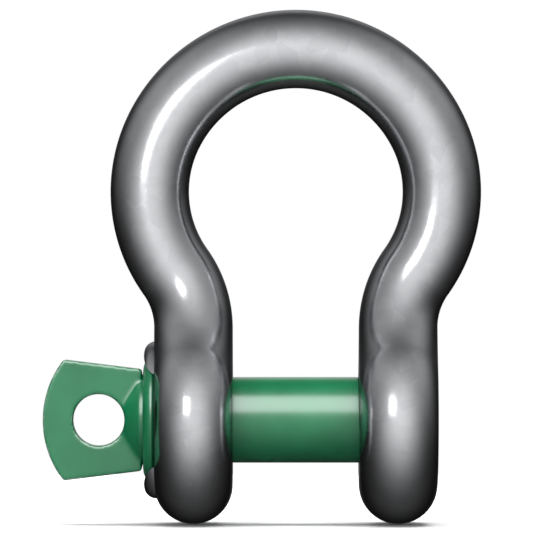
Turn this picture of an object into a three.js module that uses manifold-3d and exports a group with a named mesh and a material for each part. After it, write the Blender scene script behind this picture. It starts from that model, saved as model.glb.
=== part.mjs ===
// Screw-pin bow shackle, 22 mm bar.
//
// Millimetres. The origin is on the pin's axis, midway between the two ears. +X runs along the pin from
// its spade head to its threaded end, +Z runs up to the crown of the bow, and Y is through the bar's thickness.
// The bow is one forging, and the screw pin is a second one.

import * as THREE from "three";
import { ParametricGeometry } from "three/addons/geometries/ParametricGeometry.js";
import { mergeGeometries, mergeVertices } from "three/addons/utils/BufferGeometryUtils.js";
import Module from "manifold-3d";

const wasm = await Module();
wasm.setup();

// ---- driving dimensions ----

// Bow bar and its centreline: crown arc, two side arcs, two reversed arcs, two straight legs.
const BAR_R = 11;
const CROWN_R = 41.2;
const SIDE_R = 38.5;
const REVERSE_R = 27;
const CROWN_CENTRE_Z = 62.65;
const CROWN_HALF_ANGLE = THREE.MathUtils.degToRad(63.1);

// Ears at the feet of the bow.
const EAR_X = 28.65;
const EAR_FLAT_R = 18.2;
const EAR_BLEND_R = 32;
const EAR_R = EAR_FLAT_R + BAR_R;
const JAW_X = EAR_X - BAR_R;
const EAR_FACE_X = EAR_X + BAR_R;

// Plain hole in the ear beside the head, and the seat for the pin's collar around it.
const CLEAR_HOLE_R = 12.7;
const HOLE_CHAMFER = 0.8;
const SEAT_R = 18.3;
const SEAT_DEPTH = 0.2;
const BOSS_HALF_HEIGHT = 22;
const BOSS_HALF_WIDTH = 16;
const BOSS_RISE = 2.9;
const BOSS_SHOULDER = 6;

// Screw pin.
const PIN_R = 12;
const PIN_END_X = 39.05;
const PIN_END_CHAMFER = 1.8;
const PIN_NECK_X = -43.8;
const PIN_NECK_END_X = -49.5;
const PIN_NECK_END_R = 5.2;

// Collar of the pin.
const COLLAR_R = 17.8;
const COLLAR_FACE_R = 13.3;
const COLLAR_BORE_R = 12.3;
const COLLAR_INNER_X = -39.75;
const COLLAR_OUTER_X = -42.75;
const COLLAR_EDGE = 0.3;

// Spade head of the pin.
const SPADE_ROOT_X = -43.05;
const SPADE_ROOT_HALF = 14.2;
const SPADE_CORNER_X = -64.95;
const SPADE_CORNER_HALF = 16.9;
const SPADE_ARC_R = 27.4;
const SPADE_THICKNESS = 11;
const SPADE_BEVEL = 1.4;
const SPADE_HOLE_X = -55.15;
const SPADE_HOLE_R = 7.25;

// Thread, M24 x 3, right-handed, with a cut clearance between screw and nut.
const PITCH = 3;
const THREAD_DEPTH = 1.65;
const THREAD_CREST = 0.375;
const THREAD_FLANK = Math.tan(THREE.MathUtils.degToRad(30));
const THREAD_GAP = 0.3;
const THREAD_START_X = 17.35;
const THREAD_RUNOUT_TURNS = 0.5;
const TAPPED_R = PIN_R - THREAD_DEPTH + THREAD_GAP;
const TAPPED_MOUTH_R = 13.7;
const TAPPED_EXIT_R = 12.6;

// Facets.
const ROUND = 32;
const SECTION_STEPS = 12;
const EAR_STEPS = 6;
const BAR_STEPS = 21;

// ---- solids ----

// A closed geometry as a solid, with its seams welded and its faces turned outwards.
function toSolid(geometry) {
  const bare = geometry.clone();
  bare.deleteAttribute("normal");
  bare.deleteAttribute("uv");
  const welded = mergeVertices(bare, 1e-4);
  const index = welded.index.array;
  const faces = [];
  for (let i = 0; i < index.length; i += 3) {
    const [a, b, c] = [index[i], index[i + 1], index[i + 2]];
    if (a !== b && b !== c && c !== a) faces.push([a, b, c]);
  }
  const make = (list) =>
    new wasm.Manifold(
      new wasm.Mesh({
        numProp: 3,
        vertProperties: welded.attributes.position.array,
        triVerts: new Uint32Array(list.flat()),
      }),
    );
  const solid = make(faces);
  return solid.volume() > 0 ? solid : make(faces.map(([a, b, c]) => [a, c, b]));
}

// A solid back as a geometry.
function toGeometry(solid) {
  const { vertProperties, triVerts } = solid.getMesh();
  const geometry = new THREE.BufferGeometry();
  geometry.setAttribute("position", new THREE.BufferAttribute(vertProperties, 3));
  geometry.setIndex(new THREE.BufferAttribute(triVerts, 1));
  geometry.computeVertexNormals();
  return geometry;
}

// A profile of [x, radius] points revolved about the X axis, from one angle round to another.
function turnedGeometry(profile, from = 0, sweep = 2 * Math.PI, segments = ROUND) {
  const points = profile.map(([x, r]) => new THREE.Vector2(r, x));
  return new THREE.LatheGeometry(points, segments, from, sweep).rotateZ(-Math.PI / 2);
}

function turned(profile) {
  return toSolid(turnedGeometry(profile));
}

// ---- bow ----

const SIDE_CENTRE = new THREE.Vector2(Math.sin(CROWN_HALF_ANGLE), Math.cos(CROWN_HALF_ANGLE))
  .multiplyScalar(CROWN_R - SIDE_R)
  .add(new THREE.Vector2(0, CROWN_CENTRE_Z));
const REVERSE_ANGLE = Math.acos((EAR_X + REVERSE_R - SIDE_CENTRE.x) / (SIDE_R + REVERSE_R));
const REVERSE_CENTRE = new THREE.Vector2(Math.cos(REVERSE_ANGLE), -Math.sin(REVERSE_ANGLE))
  .multiplyScalar(SIDE_R + REVERSE_R)
  .add(SIDE_CENTRE);

const LEG = REVERSE_CENTRE.y;
const LEG_AND_REVERSE = LEG + REVERSE_R * REVERSE_ANGLE;
const SIDE_SWEEP = Math.PI / 2 - CROWN_HALF_ANGLE + REVERSE_ANGLE;
const TO_CROWN_ARC = LEG_AND_REVERSE + SIDE_R * SIDE_SWEEP;
const HALF_LENGTH = TO_CROWN_ARC + CROWN_R * CROWN_HALF_ANGLE;

// The right half of the centreline, at distance s from the eye's centre: a point and the direction that faces
// away from the inside of the bow.
function centreline(s) {
  if (s <= LEG) return { at: new THREE.Vector2(EAR_X, s), out: new THREE.Vector2(1, 0) };
  if (s <= LEG_AND_REVERSE) {
    const turn = (s - LEG) / REVERSE_R;
    const out = new THREE.Vector2(Math.cos(turn), -Math.sin(turn));
    return { at: REVERSE_CENTRE.clone().addScaledVector(out, -REVERSE_R), out };
  }
  if (s <= TO_CROWN_ARC) {
    const turn = (s - LEG_AND_REVERSE) / SIDE_R - REVERSE_ANGLE;
    const out = new THREE.Vector2(Math.cos(turn), Math.sin(turn));
    return { at: SIDE_CENTRE.clone().addScaledVector(out, SIDE_R), out };
  }
  const turn = (HALF_LENGTH - s) / CROWN_R;
  const out = new THREE.Vector2(Math.sin(turn), Math.cos(turn));
  return { at: new THREE.Vector2(0, CROWN_CENTRE_Z).addScaledVector(out, CROWN_R), out };
}

// Where the blend between ear and bar begins and ends, for the slice in which the bar's half depth is w.
function blendSpan(w) {
  const reach = EAR_FLAT_R + w + EAR_BLEND_R;
  const top = Math.sqrt(reach ** 2 - (w + EAR_BLEND_R) ** 2);
  return { top, foot: (top * (EAR_FLAT_R + w)) / reach };
}

// Half depth of the forging in Y, at height s above the eye, for the slice in which the bar's half depth is w.
// Each slice is the bar, the ear's round outline and one hollow radius between them.
function halfDepth(w, s) {
  const { top, foot } = blendSpan(w);
  if (s >= top) return w;
  if (s <= foot) return Math.sqrt((EAR_FLAT_R + w) ** 2 - s ** 2);
  return w + EAR_BLEND_R - Math.sqrt(EAR_BLEND_R ** 2 - (top - s) ** 2);
}

// Distances from the eye at which the skin has a ring of points: even steps of angle round the ear and through
// the blend, then even steps of length along the bar.
function ringStations() {
  const { top, foot } = blendSpan(BAR_R);
  const earAngle = Math.asin(foot / EAR_R);
  const blendAngle = Math.asin((top - foot) / EAR_BLEND_R);
  const stations = [];
  for (let i = 0; i < EAR_STEPS; i++) {
    stations.push(EAR_R * Math.sin((earAngle * i) / EAR_STEPS));
  }
  for (let i = 0; i < EAR_STEPS; i++) {
    stations.push(top - EAR_BLEND_R * Math.sin((blendAngle * (EAR_STEPS - i)) / EAR_STEPS));
  }
  for (let i = 0; i <= BAR_STEPS; i++) {
    stations.push(top + ((HALF_LENGTH - top) * i) / BAR_STEPS);
  }
  return stations;
}

// One ring as [across, side] pairs: across is +1 at the outside of the bow and -1 at the inside, side is the
// face in -Y or +Y, or 0 on the middle line of the ear's flat.
function ringPoints() {
  const half = [];
  for (let i = 0; i <= SECTION_STEPS; i++) half.push((Math.PI * i) / SECTION_STEPS);
  const front = half.map((angle) => [angle, -1]);
  const back = half.map((angle) => [angle, 1]).reverse();
  return [[0, 0], ...front, [Math.PI, 0], ...back, [0, 0]];
}

// The skin of the bow from one eye's centre, over the crown, to the other's.
function barSkin() {
  const stations = ringStations();
  const ring = ringPoints();
  const last = stations.length - 1;
  const place = (u, v, target) => {
    const [angle, side] = ring[Math.round(u * (ring.length - 1))];
    const step = Math.round(v * 2 * last);
    const s = stations[Math.min(step, 2 * last - step)];
    const { at, out } = centreline(s);
    const across = BAR_R * Math.cos(angle);
    const x = at.x + out.x * across;
    const z = at.y + out.y * across;
    const depth = side * halfDepth(BAR_R * Math.sin(angle), s);
    target.set(step <= last ? x : -x, depth, z);
  };
  return new ParametricGeometry(place, ring.length - 1, 2 * last);
}

// The lower half of an ear: a disc with flat sides and a fully round rim.
function lowerEar(x) {
  const rim = [];
  for (let i = 0; i <= SECTION_STEPS; i++) {
    const angle = (Math.PI * i) / SECTION_STEPS;
    rim.push([BAR_R * Math.cos(angle), EAR_FLAT_R + BAR_R * Math.sin(angle)]);
  }
  const profile = [[BAR_R, 0], ...rim, [-BAR_R, 0]];
  return turnedGeometry(profile, Math.PI / 2, Math.PI, ROUND / 2).translate(x, 0, 0);
}

// The oval boss on the outer face of the ear beside the head, taller than it is wide.
function boss() {
  const top = EAR_FACE_X + BOSS_RISE;
  const shoulder = [];
  for (let i = 0; i <= 5; i++) {
    const angle = (Math.PI * i) / 10;
    shoulder.push([
      EAR_FACE_X + BOSS_RISE * Math.cos(angle),
      BOSS_HALF_HEIGHT - BOSS_SHOULDER * (1 - Math.sin(angle)),
    ]);
  }
  const profile = [[top, 0], ...shoulder, [EAR_FACE_X - 5, BOSS_HALF_HEIGHT], [EAR_FACE_X - 5, 0]];
  const shape = turnedGeometry(profile.map(([x, r]) => [-x, r]));
  return toSolid(shape.scale(1, BOSS_HALF_WIDTH / BOSS_HALF_HEIGHT, 1));
}

function collarSeat() {
  const floor = -(EAR_FACE_X - SEAT_DEPTH);
  return turned([[floor, 0], [floor, SEAT_R], [floor - 10, SEAT_R], [floor - 10, 0]]);
}

function plainHole() {
  const outer = -(EAR_FACE_X - SEAT_DEPTH);
  const wide = CLEAR_HOLE_R + HOLE_CHAMFER + 1;
  return turned([
    [outer - 6, 0],
    [outer - 6, wide],
    [outer - 1, wide],
    [outer + HOLE_CHAMFER, CLEAR_HOLE_R],
    [-JAW_X - HOLE_CHAMFER, CLEAR_HOLE_R],
    [-JAW_X + 1, wide],
    [-JAW_X + 6, wide],
    [-JAW_X + 6, 0],
  ]);
}

// ---- thread ----

// A section of [dx, radius] corners carried round the X axis on a right-hand helix, tapering to a point at both ends.
// lift(turns) is how far the section stands out from its full depth after that many turns.
function helicalBand(section, startX, turns, lift) {
  const corners = section.length;
  const steps = Math.round(turns * ROUND);
  const place = (u, v, target) => {
    const step = Math.round(v * steps);
    const atEnd = step === 0 || step === steps;
    const [dx, radius] = atEnd ? [0, section[0][1]] : section[Math.round(u * corners) % corners];
    const done = step / ROUND;
    const angle = 2 * Math.PI * done;
    const r = radius + lift(done);
    target.set(startX + PITCH * done + dx, r * Math.cos(angle), r * Math.sin(angle));
  };
  return toSolid(new ParametricGeometry(place, corners, steps));
}

// Width of the screw's tooth along the axis at a radius.
function toothWidth(r) {
  return THREAD_CREST + 2 * (PIN_R - r) * THREAD_FLANK;
}

// What a die cuts from the pin.
function screwGroove() {
  const outer = PIN_R + 0.25;
  const inner = PIN_R - THREAD_DEPTH;
  const wide = (PITCH - toothWidth(outer)) / 2;
  const narrow = (PITCH - toothWidth(inner)) / 2;
  const section = [[-wide, outer], [wide, outer], [narrow, inner], [-narrow, inner]];
  const turns = (PIN_END_X + 1.5 - THREAD_START_X) / PITCH;
  const lift = (done) => (outer - inner) * Math.max(0, 1 - done / THREAD_RUNOUT_TURNS);
  return helicalBand(section, THREAD_START_X, turns, lift);
}

// What a tap cuts from the ear: the core hole with a countersink at each mouth, and the helical groove.
function tappedHole() {
  const mouth = TAPPED_MOUTH_R - TAPPED_R;
  const exit = TAPPED_EXIT_R - TAPPED_R;
  const core = turned([
    [JAW_X - 1, 0],
    [JAW_X - 1, TAPPED_MOUTH_R + 1],
    [JAW_X + mouth, TAPPED_R],
    [EAR_FACE_X - exit, TAPPED_R],
    [EAR_FACE_X + 1, TAPPED_EXIT_R + 1],
    [EAR_FACE_X + 1, 0],
  ]);
  const side = THREAD_GAP / Math.cos(Math.PI / 6);
  const outer = PIN_R + THREAD_GAP;
  const inner = TAPPED_R - 0.2;
  const narrow = toothWidth(outer) / 2 + side;
  const wide = toothWidth(inner) / 2 + side;
  const section = [[-narrow, outer], [narrow, outer], [wide, inner], [-wide, inner]];
  const startX = THREAD_START_X + PITCH / 2 - PITCH;
  const turns = (EAR_FACE_X + 2 - startX) / PITCH;
  return core.add(helicalBand(section, startX, turns, () => 0));
}

function bow() {
  const skin = mergeGeometries([barSkin(), lowerEar(EAR_X), lowerEar(-EAR_X)]);
  return toSolid(skin)
    .add(boss())
    .subtract(collarSeat())
    .subtract(plainHole())
    .subtract(tappedHole());
}

// ---- screw pin ----

function pinBody() {
  return turned([
    [PIN_END_X, 0],
    [PIN_END_X, PIN_R - PIN_END_CHAMFER],
    [PIN_END_X - PIN_END_CHAMFER, PIN_R],
    [PIN_NECK_X, PIN_R],
    [PIN_NECK_END_X, PIN_NECK_END_R],
    [PIN_NECK_END_X, 0],
  ]);
}

// The flat spade: it widens from its root to two corners, and a large arc with a round hole beside it ends it.
function spade() {
  const arcCentreX = SPADE_CORNER_X + Math.sqrt(SPADE_ARC_R ** 2 - SPADE_CORNER_HALF ** 2);
  const half = Math.asin(SPADE_CORNER_HALF / SPADE_ARC_R);
  const outline = new THREE.Shape();
  outline.moveTo(SPADE_ROOT_X, -SPADE_ROOT_HALF);
  outline.lineTo(SPADE_ROOT_X, SPADE_ROOT_HALF);
  outline.lineTo(SPADE_CORNER_X, SPADE_CORNER_HALF);
  outline.absarc(arcCentreX, 0, SPADE_ARC_R, Math.PI - half, Math.PI + half, false);
  outline.closePath();
  outline.holes.push(new THREE.Path().absarc(SPADE_HOLE_X, 0, SPADE_HOLE_R, 0, 2 * Math.PI, true));
  const geometry = new THREE.ExtrudeGeometry(outline, {
    depth: SPADE_THICKNESS - 2 * SPADE_BEVEL,
    bevelEnabled: true,
    bevelThickness: SPADE_BEVEL,
    bevelSize: SPADE_BEVEL,
    bevelOffset: -SPADE_BEVEL,
    bevelSegments: 2,
    curveSegments: 16,
  });
  geometry.translate(0, 0, -(SPADE_THICKNESS / 2 - SPADE_BEVEL));
  return toSolid(geometry.rotateX(Math.PI / 2));
}

function screwPin() {
  return pinBody().subtract(screwGroove()).add(spade());
}

// The collar is a low dome round the pin, with its flat side towards the ear.
function pinCollar() {
  const rise = COLLAR_INNER_X - COLLAR_EDGE - COLLAR_OUTER_X;
  const dome = [];
  for (let i = 0; i <= 6; i++) {
    const angle = (Math.PI * i) / 12;
    dome.push([
      COLLAR_OUTER_X + rise * (1 - Math.sin(angle)),
      COLLAR_FACE_R + (COLLAR_R - COLLAR_FACE_R) * Math.cos(angle),
    ]);
  }
  return turned([
    [COLLAR_INNER_X, COLLAR_BORE_R],
    [COLLAR_INNER_X, COLLAR_R - COLLAR_EDGE],
    ...dome,
    [COLLAR_OUTER_X, COLLAR_BORE_R],
    [COLLAR_INNER_X, COLLAR_BORE_R],
  ]);
}

// ---- assembly ----

const galvanised = { color: 0x9a9c9e, roughness: 0.38, metalness: 0.9 };
const paintedGreen = { color: 0x00552f, roughness: 0.3, metalness: 0.1 };

function piece(name, solid, look) {
  const mesh = new THREE.Mesh(toGeometry(solid), new THREE.MeshStandardMaterial(look));
  mesh.name = name;
  return mesh;
}

const shackle = new THREE.Group();
shackle.add(piece("bow", bow(), galvanised));
shackle.add(piece("pin_collar", pinCollar(), paintedGreen));
shackle.add(piece("screw_pin", screwPin(), paintedGreen));

export default shackle;
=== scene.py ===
"""Screw-pin bow shackle: a hot-dip galvanised bow with a dark green painted screw pin through its ears.

Metres. The origin is on the pin's axis, midway between the two ears. +X runs along the pin from its spade
head to its threaded end, +Z runs up to the crown, and Y is through the bar's thickness.
"""

import math

import bmesh
import bpy
import numpy as np
from mathutils import Matrix, Vector


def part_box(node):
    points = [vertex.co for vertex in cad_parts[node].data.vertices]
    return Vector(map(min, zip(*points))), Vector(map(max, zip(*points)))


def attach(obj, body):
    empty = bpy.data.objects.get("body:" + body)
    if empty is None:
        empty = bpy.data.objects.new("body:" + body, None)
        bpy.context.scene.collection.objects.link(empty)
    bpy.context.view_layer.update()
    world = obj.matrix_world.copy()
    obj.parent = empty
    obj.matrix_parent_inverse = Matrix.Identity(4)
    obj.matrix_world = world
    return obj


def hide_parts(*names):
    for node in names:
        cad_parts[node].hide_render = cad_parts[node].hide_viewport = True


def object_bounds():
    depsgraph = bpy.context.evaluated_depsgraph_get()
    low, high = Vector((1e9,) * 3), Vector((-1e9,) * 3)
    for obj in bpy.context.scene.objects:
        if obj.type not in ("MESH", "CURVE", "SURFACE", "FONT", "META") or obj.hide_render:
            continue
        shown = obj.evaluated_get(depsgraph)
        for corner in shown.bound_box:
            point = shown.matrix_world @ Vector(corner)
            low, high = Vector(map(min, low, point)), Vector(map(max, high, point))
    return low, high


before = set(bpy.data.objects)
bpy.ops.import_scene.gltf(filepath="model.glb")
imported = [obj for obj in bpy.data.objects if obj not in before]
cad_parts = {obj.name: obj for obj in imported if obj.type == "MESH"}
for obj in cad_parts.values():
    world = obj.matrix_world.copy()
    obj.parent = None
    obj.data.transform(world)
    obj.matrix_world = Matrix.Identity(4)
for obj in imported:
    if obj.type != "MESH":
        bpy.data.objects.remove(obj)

cad_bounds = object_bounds()
BOW_LOW, BOW_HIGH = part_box("bow")
PIN_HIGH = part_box("screw_pin")[1]
COLLAR_LOW, COLLAR_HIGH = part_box("pin_collar")

MM = 0.001

# ---- driving dimensions ----

# Bow bar and its centreline: crown arc, two side arcs, two reversed arcs, two straight legs.
BAR_R = 11.0 * MM
CROWN_R = 41.2 * MM
SIDE_R = 38.5 * MM
REVERSE_R = 27.0 * MM
CROWN_HALF_ANGLE = math.radians(63.1)
CROWN_CENTRE_Z = BOW_HIGH[2] - BAR_R - CROWN_R

# Ears.
EAR_X = 28.65 * MM
EAR_R = -BOW_LOW[2]
EAR_FLAT_R = EAR_R - BAR_R
EAR_BLEND_R = 32.0 * MM
JAW_X = EAR_X - BAR_R
EAR_FACE_X = EAR_X + BAR_R

# Hole beside the head, the seat round it, and the forged boss round the seat.
CLEAR_HOLE_R = 12.7 * MM
HOLE_ROUND = 0.9 * MM
SEAT_R = 18.3 * MM
SEAT_DEPTH = 0.2 * MM
BOSS_HALF_HEIGHT = 22.0 * MM
BOSS_HALF_WIDTH = 16.0 * MM
BOSS_FLAT_R = 15.5 * MM
BOSS_RISE = 2.9 * MM
BOSS_SHOULDER_POWER = 5.0
BOSS_FOOT_POWER = 0.80
BOSS_ROOT_DEPTH = 4.0 * MM

# Screw pin.
PIN_R = 12.0 * MM
PIN_END_X = PIN_HIGH[0]
PIN_END_CHAMFER = 1.8 * MM
PIN_NECK_X = -43.8 * MM
PIN_NECK_END_X = -49.5 * MM
PIN_NECK_END_R = 5.2 * MM
PIN_JOIN_X = -41.2 * MM

# Spade head.
SPADE_ROOT_X = -43.05 * MM
SPADE_ROOT_HALF = 14.2 * MM
SPADE_CORNER_X = -64.95 * MM
SPADE_CORNER_HALF = PIN_HIGH[2]
SPADE_ARC_R = 27.4 * MM
SPADE_THICKNESS = 11.0 * MM
SPADE_HOLE_X = -55.15 * MM
SPADE_HOLE_R = 7.25 * MM
SPADE_VOXEL = 0.42 * MM

# Collar.
COLLAR_R = COLLAR_HIGH[2]
COLLAR_FACE_R = 13.3 * MM
COLLAR_BORE_R = 12.3 * MM
COLLAR_EDGE = 0.45 * MM

# Thread, M24 x 3, right-handed.
PITCH = 3.0 * MM
THREAD_DEPTH = 1.65 * MM
THREAD_CREST = 0.375 * MM
THREAD_FLANK = math.tan(math.radians(30))
THREAD_GAP = 0.3 * MM
THREAD_START_X = 17.35 * MM
THREAD_RUNOUT_TURNS = 0.5
TAPPED_R = PIN_R - THREAD_DEPTH + THREAD_GAP
TAPPED_MOUTH_R = 13.7 * MM
TAPPED_EXIT_R = 12.6 * MM

# How far a cutting tool reaches past the surface that it cuts.
SEAT_TOOL_REACH = 10 * MM
HOLE_TOOL_REACH = 6 * MM
HOLE_TOOL_MARGIN = 0.2 * MM
HOLE_TOOL_STEP = 0.1 * MM
TAP_TOOL_REACH = 1 * MM

# Mesh fineness.
SECTION_STEPS = 48
FLAT_STEPS = 64
RING_SPACING = 0.75 * MM
ROUND = 128
EAR_TURN_STEPS = 64
THREAD_STEPS = 72
SHANK_STEPS = 64
SMOOTH_ANGLE = math.radians(32)
SLIVER = 0.003 * MM
BOSS_STEPS = 32
MOUTH_STEPS = 8
DOME_STEPS = 24
SPADE_ARC_STEPS = 48

# Material detail: noise scales per metre, and bump heights.
SPANGLE_SCALE = 260.0
CLOUD_SCALE = 38.0
GRAIN_SCALE = 900.0
CLOUD_HEIGHT = 0.10 * MM
GRAIN_HEIGHT = 0.007 * MM
PATCH_SCALE = 55.0
PEEL_SCALE = 420.0
CHIP_SCALE = 300.0
PEEL_HEIGHT = 0.012 * MM

# Linear colours.
ZINC_DARK = (0.60, 0.61, 0.63)
ZINC_LIGHT = (0.71, 0.72, 0.74)
SPANGLE_DARK = (0.58, 0.59, 0.61)
SPANGLE_LIGHT = (0.78, 0.79, 0.81)
GREEN_DARK = (0.0, 0.058, 0.020)
GREEN_LIGHT = (0.001, 0.086, 0.032)
BARE_STEEL = (0.50, 0.51, 0.52)
FLOOR_DARK = (0.88, 0.88, 0.88)
FLOOR_LIGHT = (0.90, 0.90, 0.90)

# Soft light from far away: where it comes from, how narrow it is, and its strength.
SOFT_LIGHTS = (
    ((0.0, -1.0, 0.12), 4.2, 0.98),
    ((0.0, 0.92, 0.40), 36.0, 0.95),
    ((0.75, 0.10, 0.65), 13.0, 0.30),
    ((-0.75, 0.10, 0.65), 13.0, 0.28),
    ((0.0, 0.0, 1.0), 12.0, 0.02),
    ((0.0, 0.0, -1.0), 3.0, 0.06),
)
LIGHT_AIM = Vector((0.0, 0.0, 0.043))

# Floor and camera.
FLOOR_REACH = 0.5
FLOOR_DROP = 0.2 * MM
FRAME_WIDTH = 149.3 * MM
FRAME_CENTRE = Vector((-8.21 * MM, 0.0, 42.94 * MM))
LENS = 500.0
SENSOR_WIDTH = 36.0


# ---- mesh tools ----

def new_object(name, vertices, faces):
    """A closed mesh with its seams welded and its faces turned outwards."""
    mesh = bpy.data.meshes.new(name)
    mesh.from_pydata([tuple(v) for v in vertices], [], faces)
    work = bmesh.new()
    work.from_mesh(mesh)
    bmesh.ops.remove_doubles(work, verts=work.verts, dist=1e-7)
    bmesh.ops.dissolve_degenerate(work, edges=work.edges, dist=1e-7)
    bmesh.ops.recalc_face_normals(work, faces=work.faces)
    work.to_mesh(mesh)
    work.free()
    piece = bpy.data.objects.new(name, mesh)
    bpy.context.scene.collection.objects.link(piece)
    return piece


def grid(rows):
    """Vertices and quads of a grid given as an array of rows of points."""
    count, width = rows.shape[:2]
    faces = []
    for i in range(count - 1):
        for j in range(width - 1):
            a = i * width + j
            faces.append((a, a + 1, a + width + 1, a + width))
    return rows.reshape(-1, 3), faces


def merge(*grids):
    vertices = []
    faces = []
    for points, quads in grids:
        start = len(vertices)
        vertices.extend(points)
        faces.extend(tuple(i + start for i in quad) for quad in quads)
    return vertices, faces


def apply_modifiers(piece):
    graph = bpy.context.evaluated_depsgraph_get()
    mesh = bpy.data.meshes.new_from_object(piece.evaluated_get(graph))
    piece.modifiers.clear()
    piece.data = mesh


def combine(piece, tool, operation):
    """Join a tool to a piece, or cut it from the piece, and remove the tool."""
    cut = piece.modifiers.new("cut", "BOOLEAN")
    cut.operation = operation
    cut.solver = "MANIFOLD"
    cut.object = tool
    apply_modifiers(piece)
    bpy.data.objects.remove(tool)


def turned(name, profile, segments=ROUND):
    """A profile of (x, radius) points revolved about the X axis. It closes on the axis or on itself."""
    angles = np.linspace(0, 2 * math.pi, segments + 1)
    x = np.array([p[0] for p in profile])
    r = np.array([p[1] for p in profile])
    rows = np.stack(
        [
            np.broadcast_to(x, (segments + 1, len(x))),
            np.outer(np.cos(angles), r),
            np.outer(np.sin(angles), r),
        ],
        axis=-1,
    )
    return new_object(name, *grid(rows))


def arc(centre, radius, start, end, steps):
    """Points of an arc in (x, radius) or (x, z), from one angle in degrees to another."""
    angles = np.radians(np.linspace(start, end, steps + 1))
    return [(centre[0] + radius * math.cos(a), centre[1] + radius * math.sin(a)) for a in angles]


def weld_slivers(piece):
    """Remove the edges under a few microns that joins and cuts leave, which open up in a 32-bit mesh file."""
    work = bmesh.new()
    work.from_mesh(piece.data)
    bmesh.ops.triangulate(work, faces=work.faces)
    bmesh.ops.dissolve_degenerate(work, edges=work.edges, dist=SLIVER)
    bmesh.ops.remove_doubles(work, verts=work.verts, dist=SLIVER)
    work.to_mesh(piece.data)
    work.free()


def finish_surface(piece, material):
    """Give a piece its material and smooth shading, with sharp edges where it really turns."""
    piece.data.materials.clear()
    piece.data.materials.append(material)
    piece.data.shade_smooth()
    piece.data.set_sharp_from_angle(angle=SMOOTH_ANGLE)


EDGE_WEAR = "edge_wear"


def mark_worn_edges(piece, beyond_x):
    """Mark the rounded edges between a plate's faces (normal along Y) and its sides, left of beyond_x."""
    mesh = piece.data
    wear = mesh.attributes.new(EDGE_WEAR, "FLOAT", "POINT")
    for vertex in mesh.vertices:
        along_y = vertex.normal.y ** 2
        wear.data[vertex.index].value = 4 * along_y * (1 - along_y) if vertex.co.x < beyond_x else 0.0


# ---- bow ----

SIDE_CENTRE = (
    (CROWN_R - SIDE_R) * math.sin(CROWN_HALF_ANGLE),
    CROWN_CENTRE_Z + (CROWN_R - SIDE_R) * math.cos(CROWN_HALF_ANGLE),
)
REVERSE_ANGLE = math.acos((EAR_X + REVERSE_R - SIDE_CENTRE[0]) / (SIDE_R + REVERSE_R))
REVERSE_CENTRE = (
    SIDE_CENTRE[0] + (SIDE_R + REVERSE_R) * math.cos(REVERSE_ANGLE),
    SIDE_CENTRE[1] - (SIDE_R + REVERSE_R) * math.sin(REVERSE_ANGLE),
)
LEG = REVERSE_CENTRE[1]
LEG_AND_REVERSE = LEG + REVERSE_R * REVERSE_ANGLE
SIDE_SWEEP = math.pi / 2 - CROWN_HALF_ANGLE + REVERSE_ANGLE
TO_CROWN_ARC = LEG_AND_REVERSE + SIDE_R * SIDE_SWEEP
HALF_LENGTH = TO_CROWN_ARC + CROWN_R * CROWN_HALF_ANGLE


def centreline(s):
    """Right half of the centreline at distance s from the pin's axis: x, z, and the way out of the bow."""
    if s <= LEG:
        return EAR_X, s, 1.0, 0.0
    if s <= LEG_AND_REVERSE:
        turn = (s - LEG) / REVERSE_R
        out = (math.cos(turn), -math.sin(turn))
        centre, reach = REVERSE_CENTRE, -REVERSE_R
    elif s <= TO_CROWN_ARC:
        turn = (s - LEG_AND_REVERSE) / SIDE_R - REVERSE_ANGLE
        out = (math.cos(turn), math.sin(turn))
        centre, reach = SIDE_CENTRE, SIDE_R
    else:
        turn = (HALF_LENGTH - s) / CROWN_R
        out = (math.sin(turn), math.cos(turn))
        centre, reach = (0.0, CROWN_CENTRE_Z), CROWN_R
    return centre[0] + out[0] * reach, centre[1] + out[1] * reach, out[0], out[1]


def half_depth(w, s):
    """Half depth in Y at height s, where the bar's own is w: the bar, a hollow blend, then the round ear."""
    reach = EAR_FLAT_R + w + EAR_BLEND_R
    top = math.sqrt(reach ** 2 - (w + EAR_BLEND_R) ** 2)
    foot = top * (EAR_FLAT_R + w) / reach
    if s >= top:
        return w
    if s <= foot:
        return math.sqrt((EAR_FLAT_R + w) ** 2 - s ** 2)
    return w + EAR_BLEND_R - math.sqrt(EAR_BLEND_R ** 2 - (top - s) ** 2)


def bar_ring(s):
    """One closed ring of the skin: outer flat, front half round, inner flat, back half round."""
    x, z, out_x, out_z = centreline(s)
    flat = half_depth(0.0, s)
    section = [
        (BAR_R * math.cos(a), half_depth(BAR_R * math.sin(a), s))
        for a in np.linspace(0, math.pi, SECTION_STEPS + 1)
    ]
    across_flat = np.linspace(-flat, flat, FLAT_STEPS + 1)
    ring = [(across, -depth) for across, depth in section]
    ring += [(-BAR_R, y) for y in across_flat[1:-1]]
    ring += [(across, depth) for across, depth in reversed(section)]
    ring += [(BAR_R, y) for y in across_flat[::-1][1:]]
    return [(x + out_x * across, y, z + out_z * across) for across, y in ring]


def bar_skin():
    """The skin from one ear's centre over the crown to the other's."""
    stations = np.linspace(0, HALF_LENGTH, math.ceil(HALF_LENGTH / RING_SPACING) + 1)
    right = [bar_ring(s) for s in stations]
    left = [[(-x, y, z) for x, y, z in ring] for ring in reversed(right[:-1])]
    return grid(np.array(right + left))


def lower_ear(x):
    """The lower half of an ear: a disc with flat sides and a fully round rim."""
    flat = [EAR_FLAT_R * i / (FLAT_STEPS / 2) for i in range(FLAT_STEPS // 2)]
    rim = arc((0.0, EAR_FLAT_R), BAR_R, 0, 180, SECTION_STEPS)
    profile = [(BAR_R, r) for r in flat] + rim + [(-BAR_R, r) for r in reversed(flat)]
    rows = [
        [(x + dx, -r * math.cos(turn), -r * math.sin(turn)) for dx, r in profile]
        for turn in np.linspace(0, math.pi, EAR_TURN_STEPS + 1)
    ]
    return grid(np.array(rows))


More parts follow.
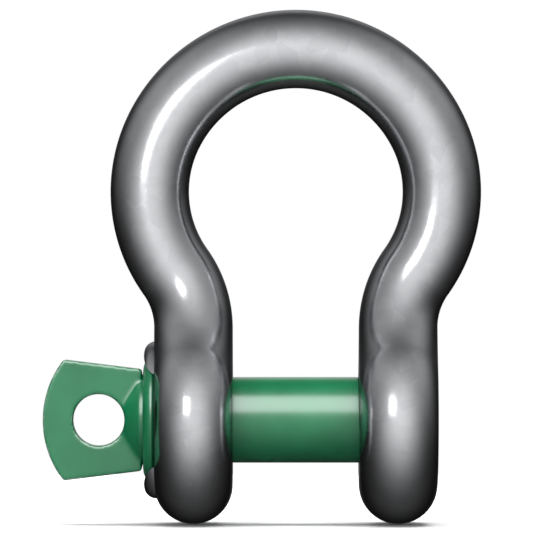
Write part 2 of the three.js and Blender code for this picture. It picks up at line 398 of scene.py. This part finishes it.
def oval_boss():
    """The flat-topped dome on the outer face of the ear beside the head, oval seen along the pin."""
    flank = []
    for i in range(BOSS_STEPS + 1):
        t = i / BOSS_STEPS
        rise = BOSS_RISE * (1 - t ** BOSS_SHOULDER_POWER) ** BOSS_FOOT_POWER
        flank.append((-EAR_FACE_X - rise, BOSS_FLAT_R + (BOSS_HALF_HEIGHT - BOSS_FLAT_R) * t))
    root_x = -EAR_FACE_X + BOSS_ROOT_DEPTH
    profile = [(-EAR_FACE_X - BOSS_RISE, 0)] + flank + [(root_x, BOSS_HALF_HEIGHT), (root_x, 0)]
    boss = turned("boss_tool", profile)
    boss.data.transform(Matrix.Diagonal((1, BOSS_HALF_WIDTH / BOSS_HALF_HEIGHT, 1, 1)))
    return boss


def collar_seat():
    """What the counterbore under the collar cuts."""
    floor = -(EAR_FACE_X - SEAT_DEPTH)
    outside = floor - SEAT_TOOL_REACH
    return turned("seat_tool", [(floor, 0), (floor, SEAT_R), (outside, SEAT_R), (outside, 0)])


def plain_hole():
    """What the drill cuts, with a rounded edge at both mouths."""
    seat = -(EAR_FACE_X - SEAT_DEPTH)
    edge = CLEAR_HOLE_R + HOLE_ROUND
    wide = edge + HOLE_TOOL_MARGIN
    outer_mouth = arc((seat + HOLE_ROUND, edge), HOLE_ROUND, 188, 270, MOUTH_STEPS)
    inner_mouth = arc((-JAW_X - HOLE_ROUND, edge), HOLE_ROUND, 270, 352, MOUTH_STEPS)
    outer_end = seat - HOLE_TOOL_REACH
    inner_end = -JAW_X + HOLE_TOOL_REACH
    return turned(
        "hole_tool",
        [(outer_end, 0), (outer_end, wide), (seat - HOLE_TOOL_STEP, wide)]
        + outer_mouth
        + inner_mouth
        + [(-JAW_X + HOLE_TOOL_STEP, wide), (inner_end, wide), (inner_end, 0)],
    )


# ---- thread ----

def helical_band(name, section, start_x, turns, lift):
    """A section of (dx, radius) corners carried round X on a right-hand helix, pointed at both ends."""
    steps = round(turns * THREAD_STEPS)
    rows = []
    for step in range(steps + 1):
        done = step / THREAD_STEPS
        angle = 2 * math.pi * done
        corners = section if 0 < step < steps else [(0.0, section[0][1])] * len(section)
        row = []
        for dx, radius in corners + corners[:1]:
            r = radius + lift(done)
            row.append((start_x + PITCH * done + dx, r * math.cos(angle), r * math.sin(angle)))
        rows.append(row)
    return new_object(name, *grid(np.array(rows)))


def tooth_width(r):
    """How wide the pin's tooth is, along the pin, at a radius."""
    return THREAD_CREST + 2 * (PIN_R - r) * THREAD_FLANK


def screw_groove():
    """What a die cuts from the pin."""
    outer = PIN_R + 0.25 * MM
    inner = PIN_R - THREAD_DEPTH
    wide = (PITCH - tooth_width(outer)) / 2
    narrow = (PITCH - tooth_width(inner)) / 2
    section = [(-wide, outer), (wide, outer), (narrow, inner), (-narrow, inner)]
    turns = (PIN_END_X + 1.5 * MM - THREAD_START_X) / PITCH
    return helical_band(
        "groove_tool",
        section,
        THREAD_START_X,
        turns,
        lambda done: (outer - inner) * max(0.0, 1 - done / THREAD_RUNOUT_TURNS),
    )


def tapped_hole():
    """What a tap cuts from the ear: the core hole, a countersink at each mouth, and the helical groove."""
    mouth = TAPPED_MOUTH_R - TAPPED_R
    leave = TAPPED_EXIT_R - TAPPED_R
    core = turned(
        "tap_tool",
        [
            (JAW_X - TAP_TOOL_REACH, 0),
            (JAW_X - TAP_TOOL_REACH, TAPPED_MOUTH_R + TAP_TOOL_REACH),
            (JAW_X + mouth, TAPPED_R),
            (EAR_FACE_X - leave, TAPPED_R),
            (EAR_FACE_X + TAP_TOOL_REACH, TAPPED_EXIT_R + TAP_TOOL_REACH),
            (EAR_FACE_X + TAP_TOOL_REACH, 0),
        ],
    )
    side = THREAD_GAP / math.cos(math.pi / 6)
    outer = PIN_R + THREAD_GAP
    inner = TAPPED_R - 0.2 * MM
    narrow = tooth_width(outer) / 2 + side
    wide = tooth_width(inner) / 2 + side
    section = [(-narrow, outer), (narrow, outer), (wide, inner), (-wide, inner)]
    start_x = THREAD_START_X - PITCH / 2
    turns = (EAR_FACE_X + 2 * MM - start_x) / PITCH
    combine(core, helical_band("tap_groove_tool", section, start_x, turns, lambda done: 0.0), "UNION")
    return core


def make_bow():
    bow = new_object("bow_forging", *merge(bar_skin(), lower_ear(EAR_X), lower_ear(-EAR_X)))
    combine(bow, oval_boss(), "UNION")
    combine(bow, collar_seat(), "DIFFERENCE")
    combine(bow, plain_hole(), "DIFFERENCE")
    combine(bow, tapped_hole(), "DIFFERENCE")
    return bow


# ---- screw pin ----

def pin_shank():
    """The threaded shank, with a short taper at its head end that sinks into the head."""
    shank = turned(
        "screw_pin_forging",
        [
            (PIN_JOIN_X - 1.5 * MM, 0),
            (PIN_JOIN_X - 1.5 * MM, PIN_R - 1.5 * MM),
            *((x, PIN_R) for x in np.linspace(PIN_JOIN_X, PIN_END_X - PIN_END_CHAMFER, SHANK_STEPS + 1)),
            (PIN_END_X, PIN_R - PIN_END_CHAMFER),
            (PIN_END_X, 0),
        ],
    )
    combine(shank, screw_groove(), "DIFFERENCE")
    return shank


def spade_outline():
    """The spade's outline in (x, z): straight sides that widen to two corners, and one large arc."""
    centre_x = SPADE_CORNER_X + math.sqrt(SPADE_ARC_R ** 2 - SPADE_CORNER_HALF ** 2)
    half = math.degrees(math.asin(SPADE_CORNER_HALF / SPADE_ARC_R))
    return [(SPADE_ROOT_X, SPADE_ROOT_HALF)] + arc(
        (centre_x, 0.0), SPADE_ARC_R, 180 - half, 180 + half, SPADE_ARC_STEPS
    ) + [(SPADE_ROOT_X, -SPADE_ROOT_HALF)]


def spade_head():
    """The flat spade and the cone that joins it to the shank, melted into one shape with soft edges."""
    outline = spade_outline()
    half = SPADE_THICKNESS / 2
    count = len(outline)
    vertices = [(x, y, z) for y in (-half, half) for x, z in outline]
    faces = [tuple(range(count)), tuple(range(2 * count - 1, count - 1, -1))]
    faces += [(i, i + count, (i + 1) % count + count, (i + 1) % count) for i in range(count)]
    head = new_object("spade", vertices, faces)
    cone = turned(
        "cone_tool",
        [
            (PIN_JOIN_X + 1.2 * MM, 0),
            (PIN_JOIN_X + 1.2 * MM, PIN_R),
            (PIN_NECK_X, PIN_R),
            (PIN_NECK_END_X, PIN_NECK_END_R),
            (PIN_NECK_END_X, 0),
        ],
    )
    combine(head, cone, "UNION")
    hole = turned(
        "spade_hole_tool",
        [(-half * 2, 0), (-half * 2, SPADE_HOLE_R), (half * 2, SPADE_HOLE_R), (half * 2, 0)],
    )
    hole.data.transform(Matrix.Translation((SPADE_HOLE_X, 0, 0)) @ Matrix.Rotation(math.pi / 2, 4, "Z"))
    combine(head, hole, "DIFFERENCE")
    melt = head.modifiers.new("melt", "REMESH")
    melt.mode = "VOXEL"
    melt.voxel_size = SPADE_VOXEL
    soften = head.modifiers.new("soften", "SMOOTH")
    soften.factor = 0.5
    soften.iterations = 14
    apply_modifiers(head)
    return head


def make_pin():
    pin = pin_shank()
    combine(pin, spade_head(), "UNION")
    return pin


def make_collar():
    """The low dome round the pin, with its flat side towards the ear."""
    inner = COLLAR_HIGH[0]
    outer = COLLAR_LOW[0]
    rise = inner - COLLAR_EDGE - outer
    dome = [
        (outer + rise * (1 - math.sin(a)), COLLAR_FACE_R + (COLLAR_R - COLLAR_FACE_R) * math.cos(a))
        for a in np.linspace(0, math.pi / 2, DOME_STEPS + 1)
    ]
    profile = [(inner, COLLAR_BORE_R), (inner, COLLAR_R - COLLAR_EDGE)] + dome
    profile += [(outer, COLLAR_BORE_R), (inner, COLLAR_BORE_R)]
    return turned("collar_ring", profile)


# ---- materials ----

def new_material(name):
    material = bpy.data.materials.new(name)
    material.use_nodes = True
    nodes = material.node_tree.nodes
    shader = nodes["Principled BSDF"]
    place = nodes.new("ShaderNodeTexCoord")
    return material, nodes, material.node_tree.links, shader, place.outputs["Object"]


def noise(nodes, links, place, scale, detail=4.0, rough=0.55):
    node = nodes.new("ShaderNodeTexNoise")
    node.inputs["Scale"].default_value = scale
    node.inputs["Detail"].default_value = detail
    node.inputs["Roughness"].default_value = rough
    links.new(place, node.inputs["Vector"])
    return node.outputs["Fac"]


def ramp(nodes, links, value, stops):
    """A colour ramp of (position, colour) stops, driven by a value."""
    node = nodes.new("ShaderNodeValToRGB")
    elements = node.color_ramp.elements
    for i, (position, colour) in enumerate(stops):
        element = elements[i] if i < 2 else elements.new(position)
        element.position = position
        element.color = (*colour, 1.0)
    links.new(value, node.inputs["Fac"])
    return node.outputs["Color"]


def span(nodes, links, value, low, high, to_low, to_high):
    """A value's range mapped onto another, clamped."""
    node = nodes.new("ShaderNodeMapRange")
    for socket, number in zip(("From Min", "From Max", "To Min", "To Max"), (low, high, to_low, to_high)):
        node.inputs[socket].default_value = number
    links.new(value, node.inputs["Value"])
    return node.outputs["Result"]


def mix(nodes, links, factor, first, second):
    """Two colours mixed by a factor. Each is a link or a plain value."""
    node = nodes.new("ShaderNodeMix")
    node.data_type = "RGBA"
    colour_a, colour_b = node.inputs[6], node.inputs[7]
    for socket, value in ((node.inputs["Factor"], factor), (colour_a, first), (colour_b, second)):
        if isinstance(value, bpy.types.NodeSocket):
            links.new(value, socket)
        else:
            socket.default_value = value if socket.type != "RGBA" else (*value, 1.0)
    return node.outputs[2]


def math_node(nodes, links, operation, first, second):
    """One sum on two values, kept between 0 and 1."""
    node = nodes.new("ShaderNodeMath")
    node.operation = operation
    node.use_clamp = True
    for socket, value in ((node.inputs[0], first), (node.inputs[1], second)):
        if isinstance(value, bpy.types.NodeSocket):
            links.new(value, socket)
        else:
            socket.default_value = value
    return node.outputs[0]


def bump(nodes, links, height, distance, shader, normal=None):
    """Raise the surface by a height map, on top of an earlier bump if one is given."""
    node = nodes.new("ShaderNodeBump")
    node.inputs["Strength"].default_value = 1.0
    node.inputs["Distance"].default_value = distance
    links.new(height, node.inputs["Height"])
    if normal is not None:
        links.new(normal, node.inputs["Normal"])
    links.new(node.outputs["Normal"], shader.inputs["Normal"])
    return node.outputs["Normal"]


def galvanised():
    """Hot-dip galvanised steel: a bright zinc coat with faint spangle, cloudy patches and fine grain."""
    material, nodes, links, shader, place = new_material("galvanised_steel")
    spangle = nodes.new("ShaderNodeTexVoronoi")
    spangle.inputs["Scale"].default_value = SPANGLE_SCALE
    links.new(place, spangle.inputs["Vector"])
    flakes = span(nodes, links, spangle.outputs["Color"], 0.0, 1.0, 0.0, 1.0)
    clouds = noise(nodes, links, place, CLOUD_SCALE, 5.0)
    grain = noise(nodes, links, place, GRAIN_SCALE, 3.0)
    zinc = ramp(nodes, links, clouds, [(0.30, ZINC_DARK), (0.70, ZINC_LIGHT)])
    bright = mix(nodes, links, flakes, SPANGLE_DARK, SPANGLE_LIGHT)
    links.new(mix(nodes, links, 0.40, zinc, bright), shader.inputs["Base Color"])
    smudge = math_node(nodes, links, "MULTIPLY", clouds, grain)
    links.new(span(nodes, links, smudge, 0.10, 0.45, 0.15, 0.25), shader.inputs["Roughness"])
    shader.inputs["Metallic"].default_value = 1.0
    shader.inputs["Specular Tint"].default_value = (0.16, 0.16, 0.17, 1.0)
    shader.inputs["Coat Weight"].default_value = 0.25
    shader.inputs["Coat Roughness"].default_value = 0.08
    rolled = bump(nodes, links, clouds, CLOUD_HEIGHT, shader)
    bump(nodes, links, grain, GRAIN_HEIGHT, shader, rolled)
    return material


def painted():
    """Dark green gloss paint with slight orange peel and faded patches, worn to steel on edges and thread."""
    material, nodes, links, shader, place = new_material("pin_paint")
    patches = noise(nodes, links, place, PATCH_SCALE, 4.0)
    peel = noise(nodes, links, place, PEEL_SCALE, 2.0)
    chips = noise(nodes, links, place, CHIP_SCALE, 5.0, 0.7)
    green = ramp(nodes, links, patches, [(0.30, GREEN_DARK), (0.72, GREEN_LIGHT)])
    edge = nodes.new("ShaderNodeAttribute")
    edge.attribute_name = EDGE_WEAR
    rim = span(nodes, links, edge.outputs["Fac"], 0.45, 1.0, 0.0, 1.0)
    worn = math_node(nodes, links, "MULTIPLY", rim, span(nodes, links, chips, 0.46, 0.70, 0.0, 0.5))
    along = nodes.new("ShaderNodeSeparateXYZ")
    links.new(place, along.inputs[0])
    threaded = span(nodes, links, along.outputs["X"], JAW_X, THREAD_START_X + PITCH, 0.0, 1.0)
    across = nodes.new("ShaderNodeVectorMath")
    across.operation = "MULTIPLY"
    across.inputs[1].default_value = (0.0, 1.0, 1.0)
    links.new(place, across.inputs[0])
    radius = nodes.new("ShaderNodeVectorMath")
    radius.operation = "LENGTH"
    links.new(across.outputs["Vector"], radius.inputs[0])
    crest = span(nodes, links, radius.outputs["Value"], PIN_R - 0.5 * MM, PIN_R - 0.1 * MM, 0.0, 1.0)
    rubbed = math_node(nodes, links, "MULTIPLY", crest, span(nodes, links, chips, 0.38, 0.60, 0.35, 1.0))
    bare = math_node(nodes, links, "MAXIMUM", worn, math_node(nodes, links, "MULTIPLY", threaded, rubbed))
    links.new(mix(nodes, links, bare, green, BARE_STEEL), shader.inputs["Base Color"])
    links.new(bare, shader.inputs["Metallic"])
    gloss = span(nodes, links, patches, 0.3, 0.7, 0.30, 0.38)
    rougher = span(nodes, links, bare, 0.0, 1.0, 0.0, 0.08)
    links.new(math_node(nodes, links, "ADD", gloss, rougher), shader.inputs["Roughness"])
    shader.inputs["Specular IOR Level"].default_value = 0.45
    shader.inputs["Coat Weight"].default_value = 0.5
    shader.inputs["Coat Roughness"].default_value = 0.22
    bump(nodes, links, peel, PEEL_HEIGHT, shader)
    return material


def floor_material():
    material, nodes, links, shader, place = new_material("pale_floor")
    speck = noise(nodes, links, place, 60.0, 3.0)
    pale = ramp(nodes, links, speck, [(0.3, FLOOR_DARK), (0.7, FLOOR_LIGHT)])
    links.new(pale, shader.inputs["Base Color"])
    shader.inputs["Roughness"].default_value = 0.85
    shader.inputs["Specular IOR Level"].default_value = 0.1
    return material


# ---- pieces ----

galvanised_steel = galvanised()
pin_paint = painted()

bow = make_bow()
weld_slivers(bow)
finish_surface(bow, galvanised_steel)
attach(bow, "bow")
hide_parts("bow")

pin = make_pin()
weld_slivers(pin)
mark_worn_edges(pin, PIN_NECK_END_X)
finish_surface(pin, pin_paint)
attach(pin, "pin")
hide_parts("screw_pin")

collar = make_collar()
finish_surface(collar, pin_paint)
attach(collar, "collar")
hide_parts("pin_collar")


# ---- floor, light and camera ----

def add_floor():
    """A wide pale floor just under the ears. It isn't seen in reflections."""
    z = cad_bounds[0][2] - FLOOR_DROP
    corners = [
        (-FLOOR_REACH, -FLOOR_REACH, z),
        (FLOOR_REACH, -FLOOR_REACH, z),
        (FLOOR_REACH, FLOOR_REACH, z),
        (-FLOOR_REACH, FLOOR_REACH, z),
    ]
    mesh = bpy.data.meshes.new("floor")
    mesh.from_pydata(corners, [], [(0, 1, 2, 3)])
    mesh.materials.append(floor_material())
    floor = bpy.data.objects.new("floor", mesh)
    bpy.context.scene.collection.objects.link(floor)
    floor.visible_glossy = False
    return floor


def add_light(name, place, size, power, only=(), mirrored=True):
    """An area light aimed at the shackle, on everything or on some pieces, with or without its reflection."""
    lamp = bpy.data.lights.new(name, "AREA")
    lamp.shape = "RECTANGLE"
    lamp.size, lamp.size_y = size
    lamp.energy = power
    light = bpy.data.objects.new(name, lamp)
    light.location = place
    light.rotation_euler = (LIGHT_AIM - Vector(place)).to_track_quat("-Z", "Y").to_euler()
    light.visible_camera = False
    light.visible_glossy = mirrored
    bpy.context.scene.collection.objects.link(light)
    if only:
        chosen = bpy.data.collections.new(name + "_lights_only")
        for piece in only:
            chosen.objects.link(piece)
        light.light_linking.receiver_collection = chosen


def soft_lobe(nodes, links, direction, sharpness, strength):
    """Light that is brightest from one direction and falls smoothly to nothing behind it."""
    place = nodes.new("ShaderNodeTexCoord")
    toward = nodes.new("ShaderNodeVectorMath")
    toward.operation = "DOT_PRODUCT"
    toward.inputs[1].default_value = Vector(direction).normalized()
    links.new(place.outputs["Generated"], toward.inputs[0])
    share = span(nodes, links, toward.outputs["Value"], -1.0, 1.0, 0.0, 1.0)
    shaped = nodes.new("ShaderNodeMath")
    shaped.operation = "POWER"
    shaped.inputs[1].default_value = sharpness
    links.new(share, shaped.inputs[0])
    scaled = nodes.new("ShaderNodeMath")
    scaled.operation = "MULTIPLY"
    scaled.inputs[1].default_value = strength
    links.new(shaped.outputs[0], scaled.inputs[0])
    return scaled.outputs[0]


def add_world():
    """White to the camera. To the object, soft light from the front, and less from behind and the sides."""
    world = bpy.data.worlds.new("studio")
    world.use_nodes = True
    nodes, links = world.node_tree.nodes, world.node_tree.links
    nodes.clear()
    total = None
    for direction, sharpness, strength in SOFT_LIGHTS:
        lobe = soft_lobe(nodes, links, direction, sharpness, strength)
        if total is None:
            total = lobe
            continue
        both = nodes.new("ShaderNodeMath")
        both.operation = "ADD"
        links.new(total, both.inputs[0])
        links.new(lobe, both.inputs[1])
        total = both.outputs[0]
    seen = nodes.new("ShaderNodeBackground")
    seen.inputs["Color"].default_value = (1, 1, 1, 1)
    lit = nodes.new("ShaderNodeBackground")
    lit.inputs["Color"].default_value = (1, 1, 1, 1)
    links.new(total, lit.inputs["Strength"])
    choose = nodes.new("ShaderNodeMixShader")
    links.new(nodes.new("ShaderNodeLightPath").outputs["Is Camera Ray"], choose.inputs[0])
    links.new(lit.outputs[0], choose.inputs[1])
    links.new(seen.outputs[0], choose.inputs[2])
    links.new(choose.outputs[0], nodes.new("ShaderNodeOutputWorld").inputs["Surface"])
    bpy.context.scene.world = world


def add_camera():
    """A long lens straight in front, with the frame's width and centre as the picture has them."""
    lens = bpy.data.cameras.new("camera")
    lens.lens = LENS
    lens.sensor_width = SENSOR_WIDTH
    lens.clip_end = 50.0
    camera = bpy.data.objects.new("camera", lens)
    distance = FRAME_WIDTH * LENS / SENSOR_WIDTH
    camera.location = FRAME_CENTRE + Vector((0, -distance, 0))
    camera.rotation_euler = (math.pi / 2, 0, 0)
    bpy.context.scene.collection.objects.link(camera)
    bpy.context.scene.camera = camera


floor = add_floor()
add_light("corner_light", (-0.35, -0.97, 0.30), (0.31, 0.31), 0.95)
add_light("pin_strip", (0.0, -0.62, 0.62), (1.6, 0.75), 32.0, only=(pin, collar))
add_light("pin_back_fill", (0.0, 0.62, 0.62), (1.6, 0.75), 16.0, only=(pin, collar), mirrored=False)
add_light("floor_light", (0.0, 0.0, 1.2), (1.2, 1.2), 34.0, only=(floor,))
add_world()
add_camera()
bpy.context.scene.view_settings.view_transform = "Standard"
